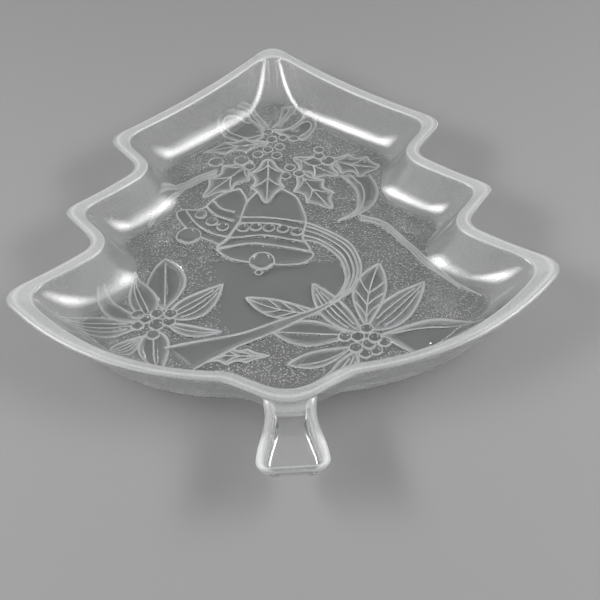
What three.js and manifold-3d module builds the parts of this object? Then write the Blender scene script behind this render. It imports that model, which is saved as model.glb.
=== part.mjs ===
// A clear pressed-glass serving dish in the outline of a Christmas tree, with a trunk-shaped handle.
// The upper side is smooth. The underside is recessed inside a flat foot band, and bells, holly,
// a bow, ribbons and two poinsettias stand out downwards from the recessed floor.
// Millimetres, +Z up, apex towards +Y, handle towards -Y, foot band on z = 0.
import * as THREE from 'three';
import { mergeVertices } from 'three/addons/utils/BufferGeometryUtils.js';
import Module from 'manifold-3d';

const wasm = await Module();
wasm.setup();

// Heights of the basin
const RIM_HEIGHT = 25;
const FOOT_RECESS = 2.4;
const FLOOR_THICKNESS = 4;

// Plan distances measured inwards from the outer edge of the rim
const RIM_WIDTH = 5.6;
const FOOT_INSET = 12;
const FOOT_WIDTH = 3.5;
const FLOOR_INSET = 21;
const WALL_FOOT_INSET = 14.8;

// Softened edges
const RIM_EDGE = 1.2;
const FOOT_EDGE = 1.5;
const TIP_SOFTENING = 0.3;

// Tree outline at the rim: sharp corners of the right half from the bottom point up to the apex.
// radius rounds the corner, bow bends the edge that leads to the next corner towards the inside.
const BOTTOM_POINT = { x: 0, y: -101.4, radius: 18, bow: 0.4 };
const SHOULDER = { x: 25, y: -86.2, radius: 14, bow: -11.2 };
const LOW_TIP = { x: 113.8, y: -35, radius: 9, bow: 1.2 };
const LOW_NOTCH = { x: 77, y: -8.4, radius: 8, bow: 0.3 };
const MIDDLE_TIP = { x: 93.5, y: 13.8, radius: 6, bow: 1 };
const TOP_NOTCH = { x: 61.6, y: 39.8, radius: 8, bow: 0.3 };
const TOP_TIP = { x: 77.8, y: 62.1, radius: 8, bow: 3.8 };
const APEX = { x: 0, y: 133.7, radius: 9 };

// Trunk handle: a shallow tray with a raised border, a little below the rim
const TRUNK_FRONT = { x: 0, y: -126.6, radius: 8, bow: -0.2 };
const TRUNK_END = { x: 13.6, y: -125.8, radius: 7, bow: 1.2 };
const TRUNK_ROOT = { x: 9.3, y: -86, radius: 2, bow: -0.2 };
const TRUNK_BACK = { x: 0, y: -85, radius: 8 };
const TRUNK_DROP = 0.8;
const TRUNK_HEIGHT = 11.2;
const TRUNK_PANEL_THICKNESS = 5.2;
const TRUNK_BORDER = 3.4;
const TRUNK_SIDE_RUN = 4.2;
const TRUNK_JOIN_Y = -100.8;

// Relief depths below the recessed floor, as shares of the recess: the foot band always stands lower
const PETAL_DEPTH = 0.5 * FOOT_RECESS;
const HOLLY_DEPTH = 0.46 * FOOT_RECESS;
const RIBBON_DEPTH = 0.34 * FOOT_RECESS;
const BELL_DEPTH = 0.46 * FOOT_RECESS;
const BAND_DEPTH = 0.63 * FOOT_RECESS;
const BERRY_DEPTH = 0.7 * FOOT_RECESS;
const CLAPPER_DEPTH = 0.86 * FOOT_RECESS;

// Clear line between neighbouring motifs
const MOTIF_GAP = 0.3;

// Relief sizes
const BERRY_RADIUS = 2.5;
const CLAPPER_RADIUS = 5.6;
const BOW_KNOT_RADIUS = 2.4;
const FLOWER_EYE_RADIUS = 7.4;
const DROP_RADIUS = 1.5;
const BEAD_RADIUS = 2.4;
const TWIG_HALF_WIDTH = 0.7;
const BAND_HALF_WIDTH = 0.8;
const TIP_HALF_WIDTH = 0.25;

// Shapes of the leaves and bells
const BLADE_FULLNESS = 0.85;
const SPINE_HOLLOW = 0.32;
const BAND_SAG = 3;
const LIP_SAG = 6;
const LIP_FLATNESS = 0.6;

// Fineness of the facets
const CORNER_STEPS = 4;
const EDGE_STEPS = 4;
const WALL_STEPS = 5;
const BLADE_STEPS = 8;
const RIBBON_STEPS = 13;
const DOME_SIDES = 8;
const DOME_RINGS = 3;
const CORNER_SHARE = 0.47;
const FINEST_EDGE = 0.02;

// A cut-off scrap of a motif below this volume, in cubic millimetres, is left out
const CRUMB_VOLUME = 2;

// Room above and below a cutting solid, so that it passes right through what it cuts
const CUT_MARGIN = 5;

const floorTop = FOOT_RECESS + FLOOR_THICKNESS;
const glass = () => new THREE.MeshStandardMaterial({
  color: 0xdde7e4, roughness: 0.06, metalness: 0, transparent: true, opacity: 0.55,
});

// Solids and meshes

function solidOf(geometry) {
  geometry.deleteAttribute('normal');
  geometry.deleteAttribute('uv');
  const merged = mergeVertices(geometry, 1e-5);
  const index = merged.index.array;
  const kept = [];
  for (let i = 0; i < index.length; i += 3) {
    const [a, b, c] = [index[i], index[i + 1], index[i + 2]];
    if (a !== b && b !== c && c !== a) kept.push(a, b, c);
  }
  const vertProperties = new Float32Array(merged.attributes.position.array);
  const triVerts = new Uint32Array(kept);
  return new wasm.Manifold(new wasm.Mesh({ numProp: 3, vertProperties, triVerts }));
}

function meshOf(name, solid) {
  const { vertProperties, triVerts } = solid.getMesh();
  const geometry = new THREE.BufferGeometry();
  geometry.setAttribute('position', new THREE.BufferAttribute(vertProperties, 3));
  geometry.setIndex(new THREE.BufferAttribute(triVerts, 1));
  geometry.computeVertexNormals();
  const mesh = new THREE.Mesh(geometry, glass());
  mesh.name = name;
  return mesh;
}

const joined = (solids) => solids.reduce((whole, next) => whole.add(next));

function geometryOf(points, triangles) {
  const geometry = new THREE.BufferGeometry();
  const numbers = points.flatMap((p) => [p.x, p.y, p.z]);
  geometry.setAttribute('position', new THREE.Float32BufferAttribute(numbers, 3));
  geometry.setIndex(triangles.flat());
  return geometry;
}

// Outlines

const cornerPoint = (corner) => new THREE.Vector2(corner.x, corner.y);

// Counter-clockwise corners: a chain up the right-hand side from axis to axis, then its mirror image.
// Each mirrored edge keeps the bow of the edge that it mirrors.
function symmetricCorners(chain) {
  const leftHalf = chain.slice(1).map((corner, i) => ({ ...corner, x: -corner.x, bow: chain[i].bow }));
  const [top, ...lowered] = leftHalf.reverse();
  return [...chain.slice(0, -1), { ...chain.at(-1), bow: top.bow }, ...lowered];
}

// The corners moved inwards by inset, with rounder corners the further in they are
function insetCorners(corners, inset) {
  const count = corners.length;
  const points = corners.map(cornerPoint);
  const inward = points.map((p, i) => {
    const along = points[(i + 1) % count].clone().sub(p).normalize();
    return new THREE.Vector2(-along.y, along.x);
  });
  return corners.map((corner, i) => {
    const before = inward[(i + count - 1) % count];
    const after = inward[i];
    const step = before.clone().add(after).multiplyScalar(inset / (1 + before.dot(after)));
    const turnsInwards = before.cross(after) < 0;
    const growth = turnsInwards ? 1 : TIP_SOFTENING;
    const radius = corner.radius + growth * inset;
    return { ...corner, x: corner.x + step.x, y: corner.y + step.y, radius };
  });
}

// Polar form of a quadratic curve, which gives the control points of any stretch of it
function polar([p0, p1, p2], u, v) {
  return p0.clone().multiplyScalar((1 - u) * (1 - v))
    .addScaledVector(p1, u + v - 2 * u * v)
    .addScaledVector(p2, u * v);
}

function crossing(p, along, q, other) {
  const k = q.clone().sub(p).cross(other) / along.cross(other);
  return p.clone().addScaledVector(along, k);
}

// A closed ring of points: bowed edges and rounded corners, with the same count for every inset
function outlineRing(corners, inset) {
  const moved = insetCorners(corners, inset);
  const count = moved.length;
  const points = moved.map(cornerPoint);
  const edges = points.map((p, i) => {
    const q = points[(i + 1) % count];
    const along = q.clone().sub(p);
    const length = along.length();
    const inward = new THREE.Vector2(-along.y, along.x).divideScalar(length);
    const control = p.clone().add(q).multiplyScalar(0.5).addScaledVector(inward, 2 * moved[i].bow);
    return { curve: [p, control, q], length };
  });
  const cuts = moved.map((corner, i) => {
    const before = edges[(i + count - 1) % count];
    const after = edges[i];
    const arriving = before.curve[2].clone().sub(before.curve[1]).normalize();
    const leaving = after.curve[1].clone().sub(after.curve[0]).normalize();
    const turn = Math.acos(THREE.MathUtils.clamp(arriving.dot(leaving), -1, 1));
    const most = CORNER_SHARE * Math.min(before.length, after.length);
    const reach = Math.min(corner.radius * Math.tan(turn / 2), most);
    return { start: 1 - reach / before.length, end: reach / after.length };
  });
  const ring = [];
  edges.forEach((edge, i) => {
    const from = cuts[i].end;
    const to = cuts[(i + 1) % count].start;
    const a = polar(edge.curve, from, from);
    const control = polar(edge.curve, from, to);
    const b = polar(edge.curve, to, to);
    ring.push(...new THREE.QuadraticBezierCurve(a, control, b).getPoints(EDGE_STEPS).slice(0, -1));
    const next = edges[(i + 1) % count];
    const nextFrom = cuts[(i + 1) % count].end;
    const nextTo = cuts[(i + 2) % count].start;
    const c = polar(next.curve, nextFrom, nextFrom);
    const meet = crossing(b, b.clone().sub(control), c, polar(next.curve, nextFrom, nextTo).sub(c));
    ring.push(...new THREE.QuadraticBezierCurve(b, meet, c).getPoints(CORNER_STEPS).slice(0, -1));
  });
  return ring;
}

// A closed solid through one ring for each row of a profile, given as [inset, height], lowest cap first
function loftedSolid(corners, profile) {
  const rings = profile.map(([inset]) => outlineRing(corners, inset));
  const size = rings[0].length;
  const points = rings.flatMap((ring, row) => {
    const height = profile[row][1];
    return ring.map((p) => new THREE.Vector3(p.x, p.y, height));
  });
  const triangles = [];
  for (let row = 0; row + 1 < rings.length; row++) {
    for (let i = 0; i < size; i++) {
      const [a, b] = [row * size + i, row * size + (i + 1) % size];
      triangles.push([a, b, b + size], [a, b + size, a + size]);
    }
  }
  const last = (rings.length - 1) * size;
  const cap = (ring) => THREE.ShapeUtils.triangulateShape(ring, []);
  cap(rings[0]).forEach(([a, b, c]) => triangles.push([c, b, a]));
  cap(rings.at(-1)).forEach(([a, b, c]) => triangles.push([last + a, last + b, last + c]));
  return solidOf(geometryOf(points, triangles));
}

// Basin and trunk handle

const tree = symmetricCorners(
  [BOTTOM_POINT, SHOULDER, LOW_TIP, LOW_NOTCH, MIDDLE_TIP, TOP_NOTCH, TOP_TIP, APEX]);
const footInner = FOOT_INSET + FOOT_EDGE + FOOT_WIDTH;
const recessInset = footInner + FOOT_EDGE;

function basinWithTrunk() {
  const outside = loftedSolid(tree, [
    [recessInset, FOOT_RECESS],
    [footInner, 0],
    [FOOT_INSET + FOOT_EDGE, 0],
    [FOOT_INSET, FOOT_EDGE],
    [RIM_EDGE, RIM_HEIGHT - 3 * RIM_EDGE],
    [0, RIM_HEIGHT - RIM_EDGE],
    [RIM_EDGE / 4, RIM_HEIGHT - RIM_EDGE / 4],
    [RIM_EDGE, RIM_HEIGHT],
  ]);
  const wallTop = new THREE.Vector2(RIM_WIDTH + RIM_EDGE / 4, RIM_HEIGHT - 1.5 * RIM_EDGE);
  const wallSweep = new THREE.QuadraticBezierCurve(
    new THREE.Vector2(FLOOR_INSET, floorTop), new THREE.Vector2(WALL_FOOT_INSET, floorTop), wallTop);
  const hollow = loftedSolid(tree, [
    ...wallSweep.getPoints(WALL_STEPS).map((p) => [p.x, p.y]),
    [RIM_WIDTH - RIM_EDGE / 4, RIM_HEIGHT - RIM_EDGE / 3],
    [RIM_WIDTH - RIM_EDGE, RIM_HEIGHT],
    [RIM_WIDTH - RIM_EDGE, RIM_HEIGHT + CUT_MARGIN],
  ]);

  const trunk = symmetricCorners([TRUNK_FRONT, TRUNK_END, TRUNK_ROOT, TRUNK_BACK]);
  const trunkTop = RIM_HEIGHT - TRUNK_DROP;
  const trunkUnderside = trunkTop - TRUNK_HEIGHT;
  const panelTop = trunkUnderside + TRUNK_PANEL_THICKNESS;
  const tray = loftedSolid(trunk, [
    [TRUNK_SIDE_RUN + FOOT_EDGE, trunkUnderside],
    [TRUNK_SIDE_RUN, trunkUnderside + FOOT_EDGE / 2],
    [RIM_EDGE / 2, trunkTop - 2 * RIM_EDGE],
    [0, trunkTop - RIM_EDGE],
    [RIM_EDGE, trunkTop],
  ]);
  const trayHollow = loftedSolid(trunk, [
    [TRUNK_BORDER + 2 * RIM_EDGE, panelTop],
    [TRUNK_BORDER + RIM_EDGE, panelTop + RIM_EDGE / 2],
    [TRUNK_BORDER, trunkTop - RIM_EDGE],
    [TRUNK_BORDER - RIM_EDGE, trunkTop],
    [TRUNK_BORDER - RIM_EDGE, trunkTop + CUT_MARGIN],
  ]);
  return tray.subtract(trayHollow).add(outside).subtract(hollow);
}

// The pressing in lengths along Y, from the handle up: each ends where the next one starts
function lengthsOf(whole, names, cuts) {
  const reach = 2 * (LOW_TIP.x + APEX.y);
  return names.map((name, i) => {
    const from = i ? cuts[i - 1] : -reach;
    const to = i < cuts.length ? cuts[i] : reach;
    const block = new THREE.BoxGeometry(reach, to - from, reach);
    block.translate(0, (from + to) / 2, 0);
    return meshOf(name, whole.intersect(solidOf(block)));
  });
}

// Relief forms, each flat on the recessed floor and domed downwards.
// flat makes a straight-sided copy, wider by MOTIF_GAP, that clears room for the form in its neighbours.

const vector = ([x, y]) => new THREE.Vector3(x, y, 0);

// A strip along a path: halfWidth(t) to each side, and section gives the depth share at places across it
function strip(path, halfWidth, depth, section, steps, flat) {
  const columns = section.length;
  const grow = flat ? MOTIF_GAP : 0;
  const top = flat ? FOOT_RECESS + CUT_MARGIN : FOOT_RECESS;
  const points = [];
  for (let row = 0; row <= steps; row++) {
    const t = row / steps;
    const centre = path.getPoint(t);
    const along = path.getTangent(t);
    const side = new THREE.Vector3(-along.y, along.x, 0);
    const overrun = t === 0 ? -grow : t === 1 ? grow : 0;
    const wide = halfWidth(t) + grow;
    const fall = depth * Math.min(1, halfWidth(t) / halfWidth(0.5));
    section.forEach(([across, share]) => {
      const p = centre.clone().addScaledVector(side, across * wide).addScaledVector(along, overrun);
      p.z = FOOT_RECESS - (flat ? CUT_MARGIN : fall * share);
      points.push(p);
    });
  }
  const under = points.length;
  const rims = points.map((p) => new THREE.Vector3(p.x, p.y, top));
  points.push(...rims);
  const triangles = [];
  const quad = (a, b, c, d) => triangles.push([a, c, b], [a, d, c]);
  for (let row = 0; row < steps; row++) {
    for (let column = 0; column + 1 < columns; column++) {
      const a = row * columns + column;
      const [b, c, d] = [a + 1, a + columns + 1, a + columns];
      quad(a, d, c, b);
      quad(under + a, under + b, under + c, under + d);
    }
    const [left, right] = [row * columns + columns - 1, row * columns];
    quad(left, left + columns, under + left + columns, under + left);
    quad(right, under + right, under + right + columns, right + columns);
  }
  for (const [row, turned] of [[0, false], [steps, true]]) {
    for (let column = 0; column + 1 < columns; column++) {
      const a = row * columns + column;
      const b = a + 1;
      if (turned) quad(a, under + a, under + b, b);
      else quad(a, b, under + b, under + a);
    }
  }
  return solidOf(geometryOf(points, triangles));
}

// Places across a strip with their share of its depth
const VEINED = [[-1, 0.12], [-0.55, 1], [0, 0.55], [0.55, 1], [1, 0.12]];
const ROUNDED = [[-1, 0.12], [-0.6, 0.85], [0, 1], [0.6, 0.85], [1, 0.12]];
const ROLLED = [[-1, 0.3], [-0.7, 1], [0, 0.45], [0.7, 1], [1, 0.3]];

// A pointed blade, widest at the share widest of its length; spines scallop the edge of a holly leaf
function blade(from, to, halfWidth, depth, { widest = 0.5, spines = 0 } = {}) {
  const path = new THREE.LineCurve3(vector(from), vector(to));
  const power = Math.log(0.5) / Math.log(widest);
  const width = (t) => {
    const swell = Math.sin(Math.PI * t ** power) ** BLADE_FULLNESS;
    const scallop = 1 - SPINE_HOLLOW * (spines ? 1 - Math.abs(Math.cos(Math.PI * spines * t)) : 0);
    return Math.max(TIP_HALF_WIDTH, halfWidth * swell * scallop);
  };
  const steps = spines ? 4 * spines : BLADE_STEPS;
  return (flat) => strip(path, width, depth, VEINED, steps, flat);
}

function ribbon(route, halfWidths, { depth = RIBBON_DEPTH, section = ROLLED, steps = RIBBON_STEPS } = {}) {
  const path = new THREE.CatmullRomCurve3(route.map(vector));
  const width = (t) => {
    const place = t * (halfWidths.length - 1);
    const before = Math.min(Math.floor(place), halfWidths.length - 2);
    return THREE.MathUtils.lerp(halfWidths[before], halfWidths[before + 1], place - before);
  };
  return (flat) => strip(path, width, depth, section, steps, flat);
}

function dome([x, y], radius, depth) {
  return (flat) => {
    const grow = flat ? MOTIF_GAP : 0;
    const profile = [new THREE.Vector2(0, flat ? FOOT_RECESS - CUT_MARGIN : FOOT_RECESS - depth)];
    for (let ring = 1; ring <= DOME_RINGS; ring++) {
      const angle = (ring / DOME_RINGS) * Math.PI / 2;
      const height = flat ? FOOT_RECESS - CUT_MARGIN : FOOT_RECESS - depth * Math.cos(angle);
      profile.push(new THREE.Vector2((radius + grow) * Math.sin(angle), height));
    }
    const top = flat ? FOOT_RECESS + CUT_MARGIN : FOOT_RECESS;
    if (flat) profile.push(new THREE.Vector2(radius + grow, top));
    profile.push(new THREE.Vector2(0, top));
    const geometry = new THREE.LatheGeometry(profile, DOME_SIDES);
    geometry.rotateX(Math.PI / 2);
    geometry.translate(x, y, 0);
    return solidOf(geometry);
  };
}

const berries = (places) => places.map((place) => dome(place, BERRY_RADIUS, BERRY_DEPTH));
const twig = (from, to) => ribbon([from, to], [TWIG_HALF_WIDTH, TWIG_HALF_WIDTH],
  { depth: RIBBON_DEPTH, section: ROUNDED, steps: 1 });

// A bell from the middle of its mouth line up its axis. profile lists [height, half width] from the mouth.
function bell(mouth, lean, profile, { bands, beadRow, beads }) {
  const up = new THREE.Vector2(Math.sin(lean), Math.cos(lean));
  const across = new THREE.Vector2(up.y, -up.x);
  const place = (side, height) => [
    mouth[0] + side * across.x + height * up.x,
    mouth[1] + side * across.y + height * up.y,
  ];
  const halfWidthAt = (height) => {
    const i = Math.max(1, profile.findIndex(([h]) => h >= height));
    const [[h0, w0], [h1, w1]] = [profile[i - 1], profile[i]];
    return THREE.MathUtils.lerp(w0, w1, (height - h0) / (h1 - h0));
  };
  const crown = profile.at(-1)[0];
  const body = (flat) => strip(new THREE.LineCurve3(vector(place(0, 0)), vector(place(0, crown))),
    (t) => halfWidthAt(t * crown), BELL_DEPTH, ROUNDED, BLADE_STEPS, flat);
  const cord = (route) => ribbon(route.map(([side, height]) => place(side, height)),
    [BAND_HALF_WIDTH, BAND_HALF_WIDTH], { depth: BAND_DEPTH, section: ROUNDED, steps: BLADE_STEPS });
  const arc = (height) => {
    const side = halfWidthAt(height);
    return cord([[-side, height], [0, height - BAND_SAG], [side, height]]);
  };
  const beadPlaces = beads.map((share) => {
    const side = share * halfWidthAt(beadRow);
    return place(side, beadRow - BAND_SAG * (1 - share * share));
  });
  const mouthSide = profile[0][1];
  const lipSide = LIP_FLATNESS * mouthSide;
  const lip = cord([[-mouthSide, 0], [-lipSide, -LIP_SAG], [lipSide, -LIP_SAG], [mouthSide, 0]]);
  return [body, lip, ...bands.map(arc), ...beadPlaces.map((p) => dome(p, BEAD_RADIUS, BERRY_DEPTH))];
}

// Petals and leaves set round a flower's centre, each as [tip, half width], with the berries on top
function flower(centre, petals, berryPlaces) {
  const blades = petals.map(([tip, halfWidth]) =>
    blade(centre, tip, halfWidth, PETAL_DEPTH, { widest: 0.55 }));
  return [...blades, dome(centre, FLOWER_EYE_RADIUS, PETAL_DEPTH), ...berries(berryPlaces)];
}

// The relief, front motifs first: each later motif leaves room for the ones before it
const holly = { spines: 3 };
const relief = {
  berry_spray_top: [
    ...berries([[-2.2, 81.1], [3.2, 82.2], [8.5, 80.9], [1.5, 75.3],
      [-4.3, 73.5], [-9.2, 70.2], [-0.2, 68.6]]),
    twig([-2.2, 81.1], [8.5, 80.9]), twig([3.2, 82.2], [-0.2, 68.6]), twig([1.5, 75.3], [-9.2, 70.2]),
  ],
  berry_spray_low: [
    ...berries([[5.7, 59.1], [3.5, 53.4], [9.7, 54.4]]),
    twig([5.7, 59.1], [3.5, 53.4]), twig([5.7, 59.1], [9.7, 54.4]),
  ],
  berry_spray_left: [
    ...berries([[-16.9, 66.3], [-13.2, 61.5], [-29.2, 66.6]]),
    twig([-29.2, 66.6], [-16.9, 66.3]), twig([-16.9, 66.3], [-13.2, 61.5]),
  ],
  berry_spray_right: [
    ...berries([[20.1, 71.4], [19.8, 66.8], [23.3, 62]]),
    twig([20.1, 71.4], [19.8, 66.8]), twig([19.8, 66.8], [23.3, 62]),
  ],
  holly_leaf_centre: [blade([-4.5, 65.5], [-6.3, 35.8], 7, HOLLY_DEPTH, holly)],
  holly_leaf_left: [blade([-13.5, 56.5], [-35.1, 42.4], 6, HOLLY_DEPTH, holly)],
  holly_leaf_lower_right: [blade([11, 51], [23.4, 29.2], 6.5, HOLLY_DEPTH, holly)],
  holly_leaf_right: [blade([6.5, 67.3], [28.5, 51], 5.5, HOLLY_DEPTH, holly)],
  holly_leaf_far_right: [blade([23, 64], [47.4, 57.5], 5.5, HOLLY_DEPTH, holly)],
  holly_leaf_upper_left: [blade([-7, 80.5], [-35, 74], 5.5, HOLLY_DEPTH, holly)],
  bow_knot: [dome([-3.4, 88], BOW_KNOT_RADIUS, BAND_DEPTH)],
  bow_loop_left: [ribbon([[-5.5, 89], [-13, 94.5], [-20, 95], [-23, 90], [-20, 85.5], [-9, 85]],
    [1.2, 2, 2.2, 2, 1.2])],
  bow_loop_right: [ribbon([[-1, 90], [5, 93.5], [11, 95], [13.5, 91], [10, 86.5]], [1.2, 1.8, 2, 1.2])],
  clapper_front: [
    dome([-9, -3], CLAPPER_RADIUS, CLAPPER_DEPTH), dome([-10.2, -9.6], DROP_RADIUS, BERRY_DEPTH),
    ribbon([[-8.2, 4.6], [-8.6, 0]], [1, 1], { section: ROUNDED, steps: 1 }),
  ],
  bell_front: bell([-8.2, 4.3], 0.132,
    [[0, 21], [8, 16.9], [18, 14.8], [24, 14.4], [35, 12.1], [42, 9], [47, 4.5]],
    { bands: [8, 18.5, 23.5], beadRow: 15, beads: [-0.84, -0.42, 0, 0.42, 0.84] }),
  clapper_rear: [dome([-41, 15.9], CLAPPER_RADIUS, CLAPPER_DEPTH)],
  bell_rear: bell([-34.7, 19], 0.832,
    [[0, 17.8], [7, 14], [15, 12.4], [20, 12], [30, 10], [36, 6]],
    { bands: [5, 14, 18.5], beadRow: 11.2, beads: [-0.75, -0.25, 0.25] }),
  poinsettia_left: flower([-54.2, -35],
    [[[-64, -6.3], 5.5], [[-51.1, 3.3], 6], [[-26.3, -15.3], 6.5], [[-30, -41.5], 4.5],
      [[-52.8, -58.4], 6], [[-71, -49.5], 5], [[-86, -33], 6], [[-74, -17], 5]],
    [[-61.1, -30], [-53.2, -30.6], [-47.4, -31.1], [-57.6, -33.1],
      [-48, -35.5], [-60.7, -36.8], [-52.9, -36.8], [-54.3, -42.2]]),
  poinsettia_right: flower([32.3, -52.7],
    [[[41.1, -8], 6.5], [[58.9, -20.3], 6], [[78, -43.5], 5.5], [[12.2, -17.7], 6.5],
      [[-3.4, -63.1], 5.5], [[11.6, -69.9], 5], [[48.5, -60.5], 4]],
    [[32.5, -45.6], [28.5, -49.7], [23.3, -49.3], [35.3, -50.7], [32.6, -53.8], [38.7, -53.2],
      [27.2, -55.5], [30.6, -58.4], [34.7, -57.1]]),
  leaf_inner: [blade([9, -37], [-16.2, -23.7], 5.5, PETAL_DEPTH, { widest: 0.45 })],
  ribbon_sweep: [ribbon(
    [[12.5, 16.5], [22.5, 8.5], [30.5, -1.5], [30, -12], [22, -23], [5, -35], [-20, -45], [-56, -50.5]],
    [2.6, 2.6, 2.6, 2, 1.4, 1])],
  ribbon_tail_left: [ribbon([[-29.5, 59.5], [-43, 52], [-60, 43]], [1.4, 2.6, 0.4])],
  ribbon_tail_left_low: [ribbon([[-31, 56.5], [-43, 47.5], [-51.5, 38], [-57.5, 26]], [0.8, 1.8, 2.4, 1])],
  ribbon_loop_right: [ribbon([[36.5, 52], [40.5, 42.3], [38.8, 32], [33, 25.5], [25.6, 21.8]],
    [3.4, 4.4, 3.4, 1.8, 0.6])],
  ribbon_tail_right: [ribbon([[36, 20.5], [47, 14], [57, 0.5], [66.5, -10.5]], [0.8, 2.4, 3, 3.4])],
};

// Each motif, kept inside the foot band, less the room taken by the motifs in front of it. A motif that
// another one crosses comes out in two or more lengths, largest first, which take numbered names.
function reliefMeshes() {
  const fieldInset = recessInset + MOTIF_GAP;
  const field = loftedSolid(tree, [
    [fieldInset, FOOT_RECESS - CUT_MARGIN],
    [fieldInset, FOOT_RECESS + CUT_MARGIN],
  ]);
  const meshes = [];
  const taken = [];
  for (const [name, forms] of Object.entries(relief)) {
    const motif = joined(forms.map((form) => form(false))).intersect(field);
    const solid = taken.reduce((left, form) => left.subtract(form), motif);
    const pieces = solid.simplify(FINEST_EDGE).decompose();
    const lengths = pieces.filter((piece) => piece.volume() > CRUMB_VOLUME);
    lengths.sort((a, b) => b.volume() - a.volume());
    lengths.forEach((piece, i) => meshes.push(meshOf(i ? `${name}_${i + 1}` : name, piece)));
    taken.push(joined(forms.map((form) => form(true))));
  }
  return meshes;
}

const dish = new THREE.Group();
dish.add(...lengthsOf(basinWithTrunk(),
  ['trunk_handle', 'branch_tier_low', 'branch_tier_middle', 'branch_tier_top'],
  [TRUNK_JOIN_Y, LOW_NOTCH.y, TOP_NOTCH.y]));
dish.add(...reliefMeshes());

// The origin is the middle of the dish in plan, on the plane that the foot band stands on
const middle = new THREE.Box3().setFromObject(dish).getCenter(new THREE.Vector3());
dish.children.forEach((mesh) => mesh.geometry.translate(-middle.x, -middle.y, 0));

export default dish;
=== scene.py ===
"""Looks of a clear pressed-glass serving dish in the outline of a Christmas tree."""
import math
from collections import namedtuple

import bpy
import numpy as np
from mathutils import Matrix, Vector
from mathutils.geometry import delaunay_2d_cdt


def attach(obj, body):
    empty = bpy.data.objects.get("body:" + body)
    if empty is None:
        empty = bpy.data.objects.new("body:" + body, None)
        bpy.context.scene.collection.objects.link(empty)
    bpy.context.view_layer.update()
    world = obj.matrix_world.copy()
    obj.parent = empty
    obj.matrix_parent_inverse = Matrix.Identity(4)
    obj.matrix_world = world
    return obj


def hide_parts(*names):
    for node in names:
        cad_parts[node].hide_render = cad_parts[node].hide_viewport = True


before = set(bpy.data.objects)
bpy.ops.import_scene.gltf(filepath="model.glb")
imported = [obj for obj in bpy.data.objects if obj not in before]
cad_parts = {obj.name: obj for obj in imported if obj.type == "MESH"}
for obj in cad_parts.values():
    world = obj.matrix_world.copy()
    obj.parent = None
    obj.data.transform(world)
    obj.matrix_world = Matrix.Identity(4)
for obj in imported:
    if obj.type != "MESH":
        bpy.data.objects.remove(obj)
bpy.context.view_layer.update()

# Sizes in millimetres. The drawing's Y starts at a line through the dish, and the part's at the middle of
# its box.

MIDDLE_Y = 1.357
FOOT_RECESS = 2.4
FOOT_INSET = 17.0
RECESS_RUN = 15.5
FLOOR_TOP = 6.4
# Length by which a corner's radius grows for each length of inset, where the corner points outwards
TIP_SOFTENING = 0.3
# Share of an edge that a rounded corner takes at most
CORNER_SHARE = 0.47

# Corners of the rim in plan up the right half: x, y, radius, inward bow of the edge that leaves
HALF_TREE = np.array([
    (0.0, -101.4, 18.0, 0.4),
    (25.0, -86.2, 14.0, -11.2),
    (113.74, -35.0, 9.0, 1.2),
    (77.0, -8.4, 8.0, 0.3),
    (93.5, 13.8, 6.0, 1.0),
    (61.6, 39.8, 8.0, 0.3),
    (77.8, 62.1, 8.0, 3.8),
    (0.0, 133.65, 9.0, 0.0),
])
# Steps along each edge and round each corner, and the numbers of the corners that are notches
EDGE_STEPS = (18, 66, 28, 16, 26, 16, 66)
CORNER_STEPS = (40, 6, 12, 10, 10, 10, 10, 12)
NOTCHES = (3, 5, 9, 11)

# The wall's section from the recess under the floor, over the rim and down inside: inset, height
FOOT_ROWS = [
    (20.5, 0.31), (19.3, 0.14), (18.1, 0.03), (17.0, 0.0),
    (15.3, 0.0), (13.6, 0.0), (12.9, 0.12), (12.35, 0.55), (11.9, 1.7),
]
RECESS_ROWS = 3
OUTER_WALL_ROWS = 14
RIM_ROWS = [
    (1.2, 21.4), (0.6, 22.4), (0.15, 23.1), (0.0, 23.6), (0.12, 24.05), (0.45, 24.45), (0.95, 24.74),
    (1.7, 24.93), (2.8, 25.0), (3.9, 24.93), (4.6, 24.74), (5.1, 24.44), (5.45, 24.05), (5.72, 23.62),
]
INNER_WALL = np.array([(5.9, 23.2), (14.8, 6.4), (21.0, 6.4)])
INNER_WALL_ROWS = 13

# The trunk handle in plan: waisted at its root, flared over a run, with round corners at its end
TRUNK_END = -126.2
TRUNK_LENGTH = 27.6
TRUNK_ROOT_HALF = 9.3
TRUNK_WAIST = 3.0
TRUNK_FLARE = 3.7
TRUNK_FLARE_RUN = 21.0
TRUNK_CORNER = 5.0
# Its heights, the radii of its edges, and the run over which its front closes
TRUNK_UNDERSIDE = 13.0
TRUNK_TOP = 24.2
TRUNK_PANEL = 19.0
TRUNK_PANEL_LEVEL = 14.0
TRUNK_ROOT_RISE = 1.8
TRUNK_LOW_EDGE = 1.2
TRUNK_TOP_EDGE = 1.6
TRUNK_NOSE = 20.5
TRUNK_NOSE_RUN = 2.4
TRUNK_SIDE_RUN = 4.2
# Its raised border: width and slope at the sides, and at the front
TRUNK_BORDER = 1.8
TRUNK_BORDER_RUN = 2.2
TRUNK_LIP = 1.8
TRUNK_LIP_RUN = 2.0
# Where it leaves the wall: the run over which the wall's opening turns into its section, the columns to each
# side among which the opening lies, the row that sets its width, and the rows of the rim that it takes in
TRUNK_JOIN = 3.6
TRUNK_COLUMNS = 60
TRUNK_WALL_ROW = 12
TRUNK_RIM_ROWS = 3
# Distances from its front at which its section is worked out, closer together at its root and its front
TRUNK_STATIONS = np.r_[
    np.linspace(TRUNK_LENGTH, 20.5, 14), np.linspace(19.5, 6.5, 14),
    5.6, 5.0, 4.4, 3.8, 3.3, 2.8, 2.3, 1.9, 1.5, 1.1, 0.8, 0.5, 0.28, 0.1, 0.0]

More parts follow.
